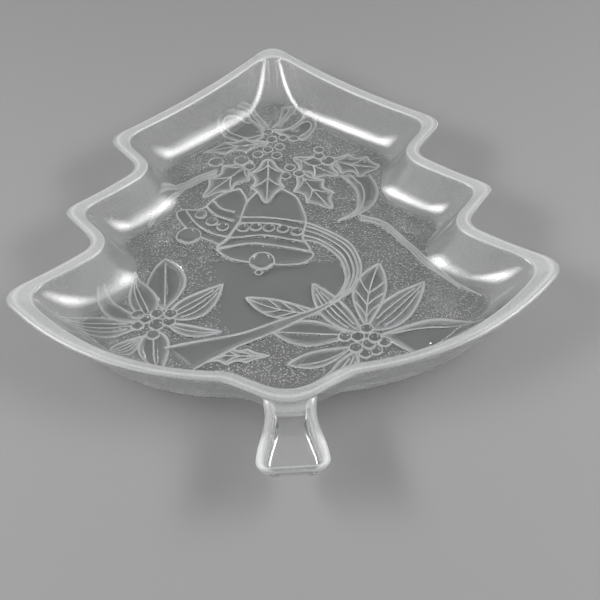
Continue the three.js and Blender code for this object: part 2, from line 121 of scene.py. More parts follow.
# A whitish haze that thickens upwards: how white it gets, from what height and over what rise
Haze = namedtuple("Haze", "frost start rise")
# A white strip along the rim, a painted highlight: how white it is, its inset, its half width and the height
# it stays above
Strip = namedtuple("Strip", "frost inset half_width above")
# Painted shading over the rim, in bands that make it look round: a thin white top, a white haze on its outer
# side, and painted highlights along its outer crest and its inner edge
RIM_TOP = Haze(0.4, 23.4, 0.9)
RIM_SIDE = Haze(0.26, 17.0, 5.0)
RIM_SIDE_INSET = 4.0
RIM_CREST_HIGHLIGHT = Strip(0.7, 1.5, 0.9, 24.0)
RIM_INNER_HIGHLIGHT = Strip(0.62, 5.2, 0.6, 22.0)
# A whitish haze on the outer wall, thicker upwards
OUTER_WALL = Haze(0.28, 0.2, 1.5)
# More whitening at the notches, within a reach that it fades over
NOTCH_WHITENING = 0.16
NOTCH_REACH = 20.0
NOTCH_FADE = 12.0
# Painted highlights on the handle's raised sides, which grow from the root to the front, and the whitening of
# its front lip and its root.
RIDGE_HIGHLIGHT = 0.72
RIDGE_ROOT_SHARE = 0.55
RIDGE_HIGHLIGHT_GROWTH = 0.75
RIDGE_HIGHLIGHT_REACH = 17.0
RIDGE_HIGHLIGHT_RUN = 7.0
LIP_WHITENING = 0.3
ROOT_WHITENING = 0.45
ROOT_WHITENING_RUN = 2.0

# Rows of the wall that carry relief, how deep the foot band's grooves are for a ridge's height, how high the
# wall's ridges are and where they start, and the heights at which relief and stipple end on the wall
CARVED_ROWS = 16
BAND_GROOVE = 0.2
WALL_RELIEF = 0.3
WALL_RELIEF_START = 0.3
WALL_RELIEF_RUN = 2.2
WALL_RELIEF_TOP = 12.0
WALL_RELIEF_FADE = 3.0
STIPPLE_TOP = 0.7
STIPPLE_FADE = 0.5
LEAST_HEIGHT = 0.05
LEAST_ROOM = 1e-6

# Points of the floor's inner face: the corners of their grid, its step, and how far inside the rim they start
FLOOR_LOW = (-95.0, -85.0)
FLOOR_HIGH = (96.0, 116.0)
FLOOR_STEP = 8.0
FLOOR_INSET = 23.0

MM = 0.001

# Steps of a smooth line between two of its points, and how many pairs of points are worked on at once
SPAN_STEPS = 8
PAIRS_AT_ONCE = 4000000
# Points nearer than this are one in a triangulation, and places equal to so many decimals are one in a mesh
SAME_POINT = 1e-5
SAME_DECIMALS = 4


# Outline and wall


def turned_left(vectors):
    """Plan vectors after a quarter turn to the left: (x, y) becomes (-y, x)."""
    return np.stack([-vectors[..., 1], vectors[..., 0]], -1)


def crossed(a, b):
    """The plan cross product a_x b_y - a_y b_x."""
    return a[..., 0] * b[..., 1] - a[..., 1] * b[..., 0]


def unit(vectors):
    """Vectors of length 1 in the same directions."""
    return vectors / np.linalg.norm(vectors, axis=-1, keepdims=True)


def smooth(share):
    """Eased step from 0 to 1: 3 s^2 - 2 s^3."""
    share = np.clip(share, 0.0, 1.0)
    return share * share * (3.0 - 2.0 * share)


def quadratic(a, b, c, steps):
    """Points of the curve (1-t)^2 a + 2 t (1-t) b + t^2 c, without its last one."""
    t = np.arange(steps)[:, None] / steps
    return (1 - t) ** 2 * a + 2 * t * (1 - t) * b + t ** 2 * c


def tree_corners():
    """Corners all round the rim, anticlockwise from the bottom point: the right half, then its mirror
    image."""
    left = HALF_TREE[1:-1][::-1] * [-1, 1, 1, 1]
    corners = np.vstack([HALF_TREE, left])
    corners[len(HALF_TREE) - 1:, 3] = HALF_TREE[:-1, 3][::-1]
    return corners


def outline(inset):
    """Closed ring of plan points at an inset, anticlockwise from the apex. A corner moves in along its two
    edges' normals, an edge is a quadratic curve with its bow, and a corner is a quadratic curve between its
    two cut edges."""
    corners = tree_corners()
    place, radius, bow = corners[:, :2], corners[:, 2], corners[:, 3:]
    inward = unit(turned_left(np.roll(place, -1, 0) - place))
    before = np.roll(inward, 1, 0)
    place = place + (before + inward) * inset / (1 + (before * inward).sum(1, keepdims=True))
    radius = radius + np.where(crossed(before, inward) < 0, 1.0, TIP_SOFTENING) * inset
    after = np.roll(place, -1, 0)
    length = np.linalg.norm(after - place, axis=1)
    control = (place + after) / 2 + 2 * bow * unit(turned_left(after - place))
    arriving = np.roll(unit(after - control), 1, 0)
    turn = np.arccos(np.clip((arriving * unit(control - place)).sum(1), -1, 1))
    shorter = np.minimum(length, np.roll(length, 1))
    reach = np.minimum(radius * np.tan(turn / 2), CORNER_SHARE * shorter)
    start = (reach / length)[:, None]
    end = 1 - (np.roll(reach, -1) / length)[:, None]

    def polar(u, v):
        """Control point of the part of an edge's curve from share u to share v, and the curve's own point
        where u is v: (1-u)(1-v) place + (u + v - 2uv) control + uv after."""
        return place * (1 - u) * (1 - v) + control * (u + v - 2 * u * v) + after * u * v

    first, middle, last = polar(start, start), polar(start, end), polar(end, end)
    next_first = np.roll(first, -1, 0)
    leaving = np.roll(middle, -1, 0) - next_first
    arriving = last - middle
    meet = last + arriving * (crossed(next_first - last, leaving) / crossed(arriving, leaving))[:, None]
    edge_steps = EDGE_STEPS + EDGE_STEPS[::-1]
    corner_steps = CORNER_STEPS[1:] + CORNER_STEPS[-2::-1]
    pieces = []
    for i, (edge, corner) in enumerate(zip(edge_steps, corner_steps)):
        pieces.append(quadratic(first[i], middle[i], last[i], edge))
        pieces.append(quadratic(last[i], meet[i], next_first[i], corner))
    to_apex = sum(EDGE_STEPS) + sum(CORNER_STEPS[1:-1]) + CORNER_STEPS[-1] // 2
    return np.roll(np.vstack(pieces), -to_apex, 0)


def wall_profile():
    """Rows of inset and height from the recess to the dish's floor."""
    rise = np.linspace(0, 1, OUTER_WALL_ROWS + 2)[1:-1, None]
    outer_wall = np.array(FOOT_ROWS[-1]) * (1 - rise) + np.array(RIM_ROWS[0]) * rise
    inner_wall = np.vstack([quadratic(*INNER_WALL, INNER_WALL_ROWS), INNER_WALL[-1:]])
    return np.vstack([FOOT_ROWS, outer_wall, RIM_ROWS, inner_wall])


def grid_triangles(rows, columns, keep=None):
    """Two triangles for each cell of a grid that closes on itself across its columns."""
    row, column = np.meshgrid(np.arange(rows - 1), np.arange(columns), indexing="ij")
    if keep is not None:
        row, column = row[keep], column[keep]
    a = row.ravel() * columns + column.ravel()
    b = row.ravel() * columns + (column.ravel() + 1) % columns
    c, d = b + columns, a + columns
    return np.vstack([np.stack([a, b, c], 1), np.stack([a, c, d], 1)])


# Lines and rings in plan


def through_points(points, step):
    """A smooth open line through a few points, as points a step apart: each span is a cubic with
    the slopes of its neighbours' chords."""
    points = np.asarray(points, float)
    if len(points) > 2:
        slope = np.gradient(points, axis=0)
        t = np.linspace(0, 1, SPAN_STEPS + 1)[None, :-1, None]
        a, b = points[:-1, None], points[1:, None]
        u, v = slope[:-1, None], slope[1:, None]
        spans = (a * (1 + 2 * t) * (1 - t) ** 2 + u * t * (1 - t) ** 2
                 + b * t * t * (3 - 2 * t) - v * t * t * (1 - t))
        points = np.vstack([spans.reshape(-1, 2), points[-1:]])
    along = np.r_[0, np.cumsum(np.linalg.norm(np.diff(points, axis=0), axis=1))]
    stations = np.linspace(0, along[-1], max(2, int(round(along[-1] / step)) + 1))
    return np.stack([np.interp(stations, along, points[:, k]) for k in (0, 1)], 1)


def inside(points, ring):
    """True where a plan point lies inside a closed ring: its ray along X crosses the ring an odd number of
    times."""
    a, b = ring, np.roll(ring, -1, 0)
    x, y = points[:, :1], points[:, 1:]
    spans = (a[:, 1] > y) != (b[:, 1] > y)
    rise = np.where(b[:, 1] == a[:, 1], 1.0, b[:, 1] - a[:, 1])
    meets = a[:, 0] + (y - a[:, 1]) / rise * (b[:, 0] - a[:, 0])
    return (spans & (x < meets)).sum(1) % 2 == 1


def gap_to_segments(points, a, b):
    """Distance from each plan point to the nearest of the segments a to b."""
    nearest = np.zeros(len(points))
    along = b - a
    square = np.maximum((along ** 2).sum(1), SAME_POINT ** 2)
    for few in np.array_split(np.arange(len(points)), len(points) * len(a) // PAIRS_AT_ONCE + 1):
        offset = points[few, None] - a
        share = np.clip((offset * along).sum(2) / square, 0, 1)
        nearest[few] = np.sqrt(((offset - share[..., None] * along) ** 2).sum(2).min(1))
    return nearest


# Relief pressed into the underside of the floor, in plan millimetres, front figures first

# A pressed figure: its outline, the depth of its body, the width of its rounded edge, its raised lines, and
# how white it is painted inside its outline, a painted glow for the light that its body bends
Figure = namedtuple("Figure", "ring depth edge lines shade")
# A raised line: its points, half width and height
Line = namedtuple("Line", "points half_width height")

# Half width and height of each kind of raised line
OUTLINE = (0.95, 0.9)
VEIN = (0.65, 0.5)
BEAD_LINE = (0.5, 0.3)
BEAD_ARC = (0.85, 0.5)

# Sizes of the figures: how full a petal's outline is, how deep its scallops are, and bodies with their edges
PETAL_FULLNESS = 0.85
SCALLOP = 0.4
PETAL_DEPTH = 0.5
RIBBON_DEPTH = 0.4
BODY_EDGE = 1.6
MARK_EDGE = 0.8
BERRY_RADIUS = 2.6
BERRY_DEPTH = 1.7
PETAL_STEPS = 73
VEIN_STEPS = 25
RIBBON_STEPS = 160
DOME_STEPS = 49
DOME_FRONT = slice(26, 47)
# Steps between the points of a ribbon's edges, of its route, of a closed outline and of the lines inside it
RIBBON_EDGE_STEP = 0.3
ROUTE_STEP = 0.5
RING_STEP = 0.5
LINE_STEP = 0.4
MOST_LINE_POINTS = 400

# Painted glow for the light that figures bend: how white they are painted inside their outline, and how far
# in from their outline
SHADE_RUN = 3.2
PETAL_SHADE = 0.6
HOLLY_SHADE = 0.8
RIBBON_SHADE = 0.85
SWEEP_SHADE = 0.45
BROAD_PETAL_SHADE = 0.9
BELL_SHADE = 0.2
# Where a dome gets its painted highlight: how far towards its front, and how near its edge
DOME_HIGHLIGHT_FRONT = 0.5
DOME_HIGHLIGHT_EDGE = 0.5
DOME_HIGHLIGHT_FADE = 0.2
# The share of a raised line's half width that gets a painted glint, and the height under which ground counts
# as flat
GLINT_SHARE = 0.75
GLINT_FADE = 0.3
FLAT_GROUND = 0.02

# Points of the underside: their step along lines, their rows across a line and rings in a dome, the least gap
# between them, their step on bare ground, and the cells that keep such points off the lines
POINT_STEP = 0.65
LINE_ROWS = (0.0, 0.42, -0.42, 0.72, -0.72, 1.0, -1.0)
DOME_RINGS = (0.0, 0.3, 0.55, 0.75, 0.88, 0.96, 1.0)
LEAST_GAP = 0.26
GROUND_STEP = 1.1
CLEAR_CELL = 0.7

# Veins, as shares along and across at which they start and end
PETAL_VEINS = [(0.1, 0.0, 0.93, 0.0), (0.16, 0.45, 0.84, 0.4), (0.16, -0.45, 0.84, -0.4)]
LEAF_VEINS = [(0.05, 0.0, 0.95, 0.0)] + [
    (t, 0.0, t + 0.2, side * 0.85) for t in (0.16, 0.34, 0.52) for side in (1, -1)]
BROAD_PETAL_VEINS = [(0.1, 0.55, 0.8, 0.7)]
HOLLY_VEINS = [(0.05, 0.0, 0.97, 0.0)] + [
    (t - 0.2, 0.0, t, side * 0.9) for t in (0.33, 0.64) for side in (1, -1)]


def petal(base, tip, half_width, bend=0.0, widest=0.5, spines=0, veins=()):
    """A petal or leaf: a bent spine from base to tip, with half width w sin(pi t^p)^fullness that a holly
    leaf scallops between its spines. A vein runs straight between two places given as shares along and
    across."""
    base, tip = np.array(base, float), np.array(tip, float)
    side = turned_left(unit(tip - base))
    power = math.log(0.5) / math.log(widest)

    def place(t, s):
        """Plan points at shares t along the spine and s of the half width to its left."""
        width = half_width * np.sin(np.pi * t ** power).clip(0) ** PETAL_FULLNESS
        width = width * (1 - SCALLOP * np.abs(np.sin(np.pi * spines * t)))
        return base + (tip - base) * t[:, None] + side * (4 * bend * t * (1 - t) + s * width)[:, None]

    t = np.linspace(0, 1, PETAL_STEPS)
    ring = np.vstack([place(t, 1.0), place(t[-2:0:-1], -1.0)])
    lines = [Line(np.vstack([ring, ring[:1]]), *OUTLINE)]
    for start, near, end, far in veins:
        along, across = np.linspace(start, end, VEIN_STEPS), np.linspace(near, far, VEIN_STEPS)
        lines.append(Line(place(along, across), *VEIN))
    return Figure(ring, PETAL_DEPTH, BODY_EDGE, lines, HOLLY_SHADE if spines else PETAL_SHADE)


def dome(x, y, radius=BERRY_RADIUS, depth=BERRY_DEPTH):
    """A berry or bead: a round dome with a fine line round it and a stout one round its front."""
    angle = np.linspace(0, 2 * np.pi, DOME_STEPS)
    ring = np.stack([x + radius * np.cos(angle), y + radius * np.sin(angle)], 1)
    lines = [Line(ring, *BEAD_LINE), Line(ring[DOME_FRONT], *BEAD_ARC)]
    return Figure(ring[:-1], depth, radius, lines, 0.0)


def mark(x, y, radius, depth):
    """A faint round step with no line of its own."""
    return dome(x, y, radius, depth)._replace(lines=[], edge=MARK_EDGE)


def is_dome(figure):
    """True for berries and beads: they alone have no shade, and an edge as wide as their radius."""
    return figure.shade == 0 and figure.edge > MARK_EDGE


def band(one, other, shares, shade=RIBBON_SHADE):
    """A ribbon between two edges, with raised lines at shares of the way from the first edge to the other."""
    one, other = through_points(one, RIBBON_EDGE_STEP), through_points(other, RIBBON_EDGE_STEP)
    t = np.linspace(0, 1, RIBBON_STEPS)
    sides = [np.stack([np.interp(t, np.linspace(0, 1, len(edge)), edge[:, k]) for k in (0, 1)], 1)
             for edge in (one, other)]
    ring = np.vstack([sides[0], sides[1][::-1]])
    lines = []
    for share, start, end in shares:
        part = (t >= start) & (t <= end)
        lines.append(Line((sides[0] * (1 - share) + sides[1] * share)[part], *OUTLINE))
    return Figure(ring, RIBBON_DEPTH, BODY_EDGE, lines, shade)


def bordered(route, half_width):
    """A ribbon of even width along a route, raised along both edges."""
    route = through_points(route, ROUTE_STEP)
    side = turned_left(unit(np.gradient(route, axis=0))) * half_width
    return band(route + side, route - side, [(0.0, 0, 1), (1.0, 0, 1)])


def outlined(points, extra=(), depth=RIBBON_DEPTH, edge=BODY_EDGE, shade=RIBBON_SHADE):
    """A figure inside a smooth closed outline, with extra raised lines through points."""
    ring = through_points(list(points) + [points[0]], RING_STEP)
    lines = [Line(ring, *OUTLINE)] + [Line(through_points(line, LINE_STEP), *OUTLINE) for line in extra]
    return Figure(ring[:-1], depth, edge, lines, shade)


FIGURES = [
    # Berries of the two poinsettias
    *[dome(x, y) for x, y in [
        (32.5, -45.8), (28.5, -49.9), (23.3, -49.5), (35.3, -50.9), (32.6, -54.0), (38.9, -53.4),
        (27.2, -55.7), (30.8, -58.6), (35.0, -57.3)]],
    *[dome(x, y) for x, y in [
        (-61.1, -30.2), (-53.2, -30.8), (-47.4, -31.3), (-57.6, -33.4), (-48.0, -35.7), (-60.7, -37.0),
        (-54.3, -42.4)]],
    dome(-52.9, -37.0, 3.2, 1.9),
    # Berries among the holly
    *[dome(x, y, 2.4) for x, y in [
        (-2.2, 80.9), (8.5, 80.7), (1.5, 75.0), (-4.3, 73.3), (-9.2, 70.0), (-0.2, 68.4),
        (5.7, 58.9), (3.5, 53.2), (9.7, 54.2), (-13.2, 61.3), (20.1, 71.2), (19.8, 66.6)]],
    dome(3.2, 82.0, 2.0),
    dome(-16.9, 66.1, 3.4),
    dome(-29.2, 66.4, 3.6),
    dome(23.8, 62.4, 3.2),
    # Clappers and the rows of beads
    dome(-9.0, -3.2, 5.4, 2.0),
    dome(-10.5, -10.0, 1.5, 1.1),
    dome(-41.0, 15.7, 5.4, 2.0),
    *[dome(x, y, 2.5, 1.5) for x, y in [
        (-17.0, 18.9), (-11.2, 19.0), (-5.4, 18.0), (0.8, 16.8), (6.9, 14.3)]],
    *[dome(x, y, 2.6, 1.5) for x, y in [(-35.8, 29.9), (-30.8, 24.1), (-25.9, 20.3)]],
    # Right poinsettia, the petals that lie on top
    petal((32.5, -45.5), (41.0, -8.8), 6.7, 1.8, 0.56, veins=LEAF_VEINS),
    petal((34.5, -46.0), (59.0, -20.2), 6.6, -1.2, 0.36, veins=PETAL_VEINS),
    petal((37.0, -50.0), (84.7, -58.3), 11.3, 0.5, 0.57, veins=BROAD_PETAL_VEINS)._replace(
        shade=BROAD_PETAL_SHADE),
    # Left poinsettia
    petal((-48.0, -33.5), (-26.2, -16.1), 6.2, -2.2, 0.40, veins=PETAL_VEINS),
    petal((-59.0, -34.5), (-82.1, -10.3), 3.4, 4.1, 0.42),
    petal((-56.0, -31.5), (-67.3, -7.3), 5.6, -1.1, 0.36, veins=PETAL_VEINS[:2]),
    petal((-50.0, -29.0), (-50.9, 1.7), 8.7, 0.0, 0.53, veins=PETAL_VEINS[:1]),
    petal((-58.0, -37.5), (-102.4, -42.5), 6.6, -2.7, 0.52, veins=PETAL_VEINS),
    petal((-48.0, -37.5), (-26.1, -43.0), 2.7, -1.8, 0.40, veins=PETAL_VEINS[:1]),
    petal((-58.0, -43.0), (-74.0, -55.7), 4.0, 0.0, 0.55, veins=PETAL_VEINS),
    # Holly leaves
    petal((-4.5, 66.0), (-6.2, 34.9), 9.5, 0.4, 0.45, 3, HOLLY_VEINS),
    petal((-12.5, 65.5), (-35.0, 41.5), 9.0, 0.6, 0.42, 3, HOLLY_VEINS),
    petal((10.0, 54.0), (23.4, 28.2), 8.6, -0.6, 0.45, 3, HOLLY_VEINS),
    petal((8.0, 66.0), (27.8, 51.1), 8.6, 0.0, 0.48, 3, HOLLY_VEINS),
    petal((23.0, 63.5), (49.2, 55.9), 9.0, -1.0, 0.5, 3, HOLLY_VEINS),
    petal((-4.0, 78.0), (-35.8, 75.4), 6.0, -1.0, 0.45, 3, HOLLY_VEINS),
    # Front bell, its mouth, then the rear bell
    outlined(
        [(3.2, 42.4), (8.0, 37.1), (10.7, 26.6), (11.2, 19.8), (9.6, 13.4), (9.4, 9.5), (11.7, 4.2),
         (11.6, 1.7), (3.5, 4.2), (-8.7, 7.8), (-16.6, 8.4), (-28.4, 6.8), (-24.4, 11.0), (-21.8, 16.0),
         (-18.6, 22.3), (-17.2, 28.2), (-15.3, 34.9), (-12.5, 39.6), (-7.8, 44.8), (-2.0, 45.6)],
        [[(-18.1, 26.3), (-8.3, 25.5), (2.0, 23.3), (10.4, 20.6)],
         [(-19.1, 22.4), (-4.8, 21.2), (4.0, 17.8), (9.2, 15.4)],
         [(-23.1, 12.8), (-8.5, 13.6), (3.7, 10.0), (10.2, 7.5)]], 0.9, 7.0, BELL_SHADE),
    outlined(
        [(-28.8, 5.6), (-24.0, 0.2), (-14.1, -3.7), (-3.4, -5.8), (7.3, -6.1), (13.1, -2.2), (11.8, 1.6),
         (3.5, 4.2), (-8.7, 7.6), (-16.6, 8.2)], (), 0.25, 2.0, BELL_SHADE),
    outlined(
        [(-17.9, 45.7), (-24.9, 43.4), (-30.4, 39.0), (-33.5, 35.1), (-38.0, 33.4), (-44.1, 34.7),
         (-48.0, 33.2), (-43.2, 23.0), (-37.7, 16.0), (-30.6, 10.9), (-26.2, 9.9), (-19.0, 22.0),
         (-15.0, 36.0)],
        [[(-30.4, 39.0), (-26.7, 33.1), (-20.3, 29.9)], [(-33.5, 35.1), (-28.9, 28.6), (-21.7, 23.9)],
         [(-43.0, 33.6), (-36.9, 22.5), (-30.6, 16.7), (-23.6, 13.5)]], 0.7, 6.0, BELL_SHADE),
    # Long sweep of ribbon from behind the bell to the left poinsettia
    band(
        [(9.0, 21.0), (11.7, 19.8), (21.5, 13.0), (29.7, 4.6), (32.8, -5.1), (33.0, -12.4), (30.1, -21.2),
         (25.1, -26.7), (14.2, -34.4), (5.8, -38.8), (-6.7, -45.6), (-18.9, -51.1), (-28.9, -56.7),
         (-37.5, -61.8)],
        [(9.0, 9.0), (11.1, 8.1), (16.6, 5.7), (23.9, -3.1), (26.2, -11.9), (25.7, -19.1), (20.9, -27.5),
         (13.5, -32.6), (5.9, -35.5), (-6.6, -40.1), (-18.8, -44.6), (-37.0, -47.6), (-49.0, -49.9)],
        [(0.0, 0, 1), (0.2, 0, 0.5), (0.45, 0, 0.42), (0.75, 0, 0.4), (1.0, 0, 1)], SWEEP_SHADE),
    # Petals and leaves that the sweep crosses
    petal((30.0, -48.0), (12.2, -18.6), 5.4, 1.9, 0.47, veins=PETAL_VEINS),
    petal((27.0, -49.0), (-5.5, -44.6), 6.8, 0.0, 0.57, veins=PETAL_VEINS[:1]),
    petal((26.0, -55.0), (-0.5, -62.5), 3.9, 1.3, 0.56, veins=PETAL_VEINS[1:2]),
    petal((27.0, -58.0), (12.3, -77.0), 4.8, 1.9, 0.46, veins=PETAL_VEINS),
    petal((-54.0, -41.0), (-52.0, -65.0), 6.1, -0.4, 0.33, veins=PETAL_VEINS[:1]),
    petal((16.0, -35.5), (-16.1, -24.6), 4.8, 3.0, 0.56, veins=LEAF_VEINS),
    petal((-8.0, -57.5), (-40.0, -54.5), 4.6, 0.0, 0.5, 4, LEAF_VEINS),
    # Loop and tails of ribbon at the sides
    band(
        [(28.7, 51.0), (35.3, 41.1), (35.2, 29.3), (32.1, 24.1), (25.5, 20.0)],
        [(42.9, 51.0), (47.5, 41.5), (41.7, 30.2), (35.2, 23.8), (25.6, 19.4)],
        [(0.0, 0, 1), (0.35, 0, 0.8), (1.0, 0, 1)]),
    band(
        [(35.6, 23.1), (46.3, 17.6), (53.8, 5.8), (66.4, -9.3), (73.4, -20.4), (83.1, -30.7)],
        [(35.3, 19.8), (43.9, 15.8), (51.5, 4.7), (61.4, -8.4), (68.0, -15.9), (74.0, -24.0)],
        [(0.0, 0, 1), (0.5, 0.15, 0.9), (1.0, 0, 1)]),
    bordered([(-28.6, 59.6), (-41.2, 53.4), (-56.8, 42.7), (-65.7, 38.2)], 0.8),
    bordered([(-28.6, 56.7), (-36.5, 53.0), (-46.0, 47.1), (-52.4, 40.9), (-57.1, 34.3), (-60.4, 25.5)], 0.7),
    # Faint round mark where the glass was fed in
    mark(-0.2, -20.9, 6.2, 0.14),
    # Bow
    dome(-3.8, 87.3, 2.4, 1.6),
    outlined(
        [(-6.7, 91.6), (-14.8, 101.5), (-22.0, 103.2), (-28.8, 101.3), (-32.8, 96.1), (-30.2, 90.9),
         (-23.3, 85.1), (-14.7, 80.4), (-6.9, 82.8)],
        [[(-14.0, 97.0), (-22.0, 99.8), (-28.0, 98.4), (-29.2, 93.9), (-23.2, 90.0), (-14.6, 84.3),
          (-7.5, 85.5)]]),
    outlined(
        [(-1.8, 88.7), (6.0, 89.6), (16.2, 100.0), (20.2, 101.2), (22.6, 96.2), (19.5, 89.3), (14.4, 80.9),
         (10.5, 79.7), (2.0, 84.5)],
        [[(8.0, 89.0), (15.5, 95.5), (18.6, 94.0), (16.5, 88.0), (11.5, 83.0)]]),
    bordered([(-4.7, 90.6), (-9.5, 101.1), (-15.7, 106.1), (-23.0, 106.7)], 1.3),
    outlined(
        [(-1.8, 90.3), (1.8, 96.5), (4.3, 107.3), (7.4, 108.1), (13.5, 106.4), (8.3, 101.3), (2.2, 92.4)],
        [[(0.5, 92.0), (4.5, 99.0), (8.0, 106.0)]]),
]

# The ground inside the sweep of ribbon is left smooth
SMOOTH_GROUND = np.array([
    (-30.0, -2.0), (12.0, -7.0), (24.0, -7.0), (27.0, -16.0), (21.0, -27.0), (5.0, -35.0),
    (-20.0, -45.0), (-27.0, -38.0), (-26.0, -18.0)])


def plan_grid(low, high, step):
    """Plan points an even step apart, from a low corner up to a high one."""
    columns, rows = (np.arange(start, end, step) for start, end in zip(low, high))
    return np.stack(np.meshgrid(columns, rows), -1).reshape(-1, 2)


def window(points, shape, margin):
    """Numbers of the points within a margin of a shape's box."""
    near = (points > shape.min(0) - margin) & (points < shape.max(0) + margin)
    return near.all(1).nonzero()[0]


def shown_segments():
    """Each raised line's segments, less the stretches that lie under figures in front of it."""
    shown = []
    for order, figure in enumerate(FIGURES):
        for line in figure.lines:
            thinned = line.points[:: max(1, len(line.points) // MOST_LINE_POINTS)]
            points = through_points(thinned, POINT_STEP)
            hidden = np.zeros(len(points), bool)
            for front in FIGURES[:order]:
                index = window(points, front.ring, 0)
                hidden[index] |= inside(points[index], front.ring)
            whole = ~(hidden[:-1] | hidden[1:])
            if whole.any():
                shown.append((points[:-1][whole], points[1:][whole], line.half_width, line.height))
    return shown


SEGMENTS = shown_segments()


def carve(points):
    """How far the relief stands out below the recess at plan points, how white it is painted, and how
    stippled.
    Inside a figure its body rises over its rounded edge, d sqrt(1 - (1 - s)^2), and a raised line adds a
    ridge h (1 - (gap / w)^2)^2. Crests get painted glints, figures a painted white glow inside their outline
    and domes a painted highlight at their front, and the ground between figures is stippled."""
    body = np.zeros(len(points))
    frost = np.zeros(len(points))
    bare = np.ones(len(points), bool)
    for figure in FIGURES:
        index = window(points, figure.ring, 0)
        index = index[bare[index]]
        index = index[inside(points[index], figure.ring)]
        gap = gap_to_segments(points[index], figure.ring, np.roll(figure.ring, -1, 0))
        share = np.clip(gap / figure.edge, 0, 1)
        body[index] = figure.depth * np.sqrt(1 - (1 - share) ** 2)
        bare[index] = False
        # Painted white glow inside the outline, for the light the figure bends
        frost[index] = figure.shade * smooth(1 - gap / SHADE_RUN)
        # A dome gets a painted highlight at its front instead
        if is_dome(figure):
            facing_front = (figure.ring.mean(0)[1] - points[index, 1]) / figure.edge
            near_edge = smooth((DOME_HIGHLIGHT_EDGE - share) / DOME_HIGHLIGHT_FADE)
            frost[index] = smooth(facing_front / DOME_HIGHLIGHT_FRONT) * near_edge
    ridge = np.zeros(len(points))
    for a, b, half_width, height in SEGMENTS:
        index = window(points, np.vstack([a, b]), half_width)
        share = np.minimum(gap_to_segments(points[index], a, b) / half_width, 1)
        rise = (1 - share ** 2) ** 2
        ridge[index] = np.maximum(ridge[index], height * rise)
        # Painted glint along each raised line's crest
        frost[index] = np.maximum(frost[index], smooth((GLINT_SHARE - share) / GLINT_FADE))
    stipple = bare & (ridge < FLAT_GROUND) & ~inside(points, SMOOTH_GROUND)
    return body + ridge, frost, stipple.astype(float)


def relief_points(field, floor, wall_points):
    """Plan points inside a ring that the underside's triangles go through: rows along each raised line,
    rings within each dome, and over the rest an even grid on the floor and the wall's own points."""
    fine = []
    for a, b, half_width, _ in SEGMENTS:
        side = turned_left(unit(b - a))
        fine += [(a + b) / 2 + side * half_width * share for share in LINE_ROWS]
    for figure in FIGURES:
        if is_dome(figure):
            centre = figure.ring.mean(0)
            closed = np.vstack([figure.ring, figure.ring[:1]])
            for share in DOME_RINGS:
                steps = max(1, int(2 * np.pi * figure.edge * share / POINT_STEP))
                ring = through_points(closed, 2 * np.pi * figure.edge / steps)
                fine.append(centre + (ring[:-1] - centre) * share)
    fine = np.vstack(fine)
    _, first = np.unique(np.floor(fine / LEAST_GAP).astype(int), axis=0, return_index=True)
    fine = fine[np.sort(first)]
    fine = fine[inside(fine, field)]
    low, high = field.min(0) - 1, field.max(0) + 1
    grid = plan_grid(low, high, GROUND_STEP)
    grid = np.vstack([grid[inside(grid, floor)], wall_points])
    cells = np.zeros(np.ceil((high - low) / CLEAR_CELL).astype(int) + 3, bool)
    at = ((fine - low) / CLEAR_CELL).astype(int) + 1
    for step_x in (-1, 0, 1):
        for step_y in (-1, 0, 1):
            cells[at[:, 0] + step_x, at[:, 1] + step_y] = True
    at = ((grid - low) / CLEAR_CELL).astype(int) + 1
    return np.vstack([fine, grid[~cells[at[:, 0], at[:, 1]]]])


# Meshes


def joined_mesh(name, blocks):
    """One closed mesh from blocks of vertices and triangles, where equal vertices become one. A vertex has
    its place in millimetres, then its haze and painted light, and its stipple."""
    counts = np.cumsum([0] + [len(vertices) for vertices, _ in blocks])
    surface = np.vstack([vertices for vertices, _ in blocks])
    vertices = surface[:, :3] - [0, MIDDLE_Y, 0]
    triangles = np.vstack([triangles + first for (_, triangles), first in zip(blocks, counts)])
    rounded = np.round(vertices, SAME_DECIMALS)
    _, kept, renumbered = np.unique(rounded, axis=0, return_index=True, return_inverse=True)
    triangles = renumbered.ravel()[triangles]
    a, b, c = triangles.T
    triangles = triangles[(a != b) & (b != c) & (c != a)]
    used, triangles = np.unique(triangles, return_inverse=True)
    kept, triangles = kept[used], triangles.reshape(-1, 3)
    mesh = bpy.data.meshes.new(name)
    mesh.vertices.add(len(kept))
    mesh.vertices.foreach_set("co", (vertices[kept] * MM).ravel())
    mesh.loops.add(triangles.size)
    mesh.loops.foreach_set("vertex_index", triangles.ravel())
    mesh.polygons.add(len(triangles))
    mesh.polygons.foreach_set("loop_start", np.arange(0, triangles.size, 3))
    mesh.polygons.foreach_set("use_smooth", np.ones(len(triangles), bool))
    mesh.update(calc_edges=True)
    for column, attribute in ((3, "frost"), (4, "stipple")):
        mesh.attributes.new(attribute, "FLOAT", "POINT").data.foreach_set("value", surface[kept, column])
    mesh.validate()
    return mesh


def filled(loop, extra):
    """Triangles over the plan area inside a loop, through the extra points: plan points and triangles."""
    points = np.vstack([loop, extra])
    vectors = [tuple(point) for point in points]
    found = delaunay_2d_cdt(vectors, [], [list(range(len(loop)))], 1, SAME_POINT)
    places = np.array([tuple(vector) for vector in found[0]])
    own = np.array([origin[0] if origin else -1 for origin in found[3]])
    places[own >= 0] = points[own[own >= 0]]
    return places, np.array(found[2])


def rounding(gap, radius):
    """Drop of a quarter-round edge at a distance from it: r - sqrt(r^2 - (r - gap)^2)."""
    away = np.clip(radius - gap, 0, radius)
    return radius - np.sqrt(np.maximum(radius ** 2 - away ** 2, 0.0))


